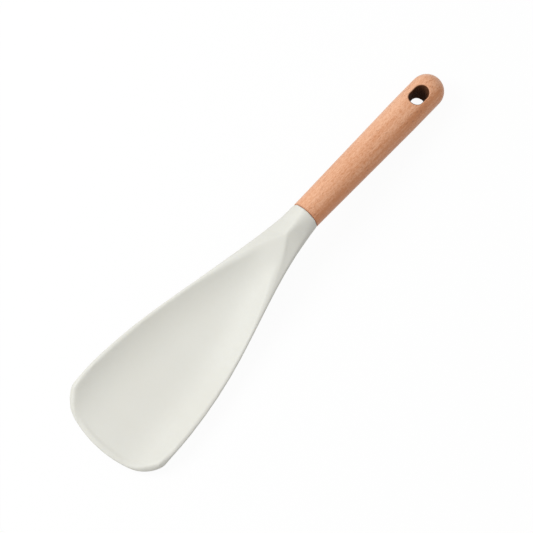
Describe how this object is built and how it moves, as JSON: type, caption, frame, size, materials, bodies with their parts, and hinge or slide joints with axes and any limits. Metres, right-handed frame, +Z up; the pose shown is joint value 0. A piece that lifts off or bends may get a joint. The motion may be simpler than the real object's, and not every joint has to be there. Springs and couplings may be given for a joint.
{
  "type": "rice paddle",
  "caption": "Long rice paddle: a pale silicone scoop with raised side rims and a thin open front, on a round beech handle with an oblong hanging slot.",
  "frame": {"origin": "on the table that the tool lies on, under the middle of its bounding box", "axes": "+X along the tool towards the handle's end, +Y across the scoop, +Z up through the open side of the bowl"},
  "size_m": [0.313, 0.0766, 0.0335],
  "materials": {
    "beech": "turned and sanded beech with a thin oil finish",
    "silicone": "matte moulded silicone, pale greenish white",
    "nylon": "glass-filled nylon, hidden inside the silicone and the handle"
  },
  "bodies": {
    "root": {"wooden_handle": "beech", "silicone_head": "silicone", "stiffening_core": "nylon"}
  },
  "joints": []
}
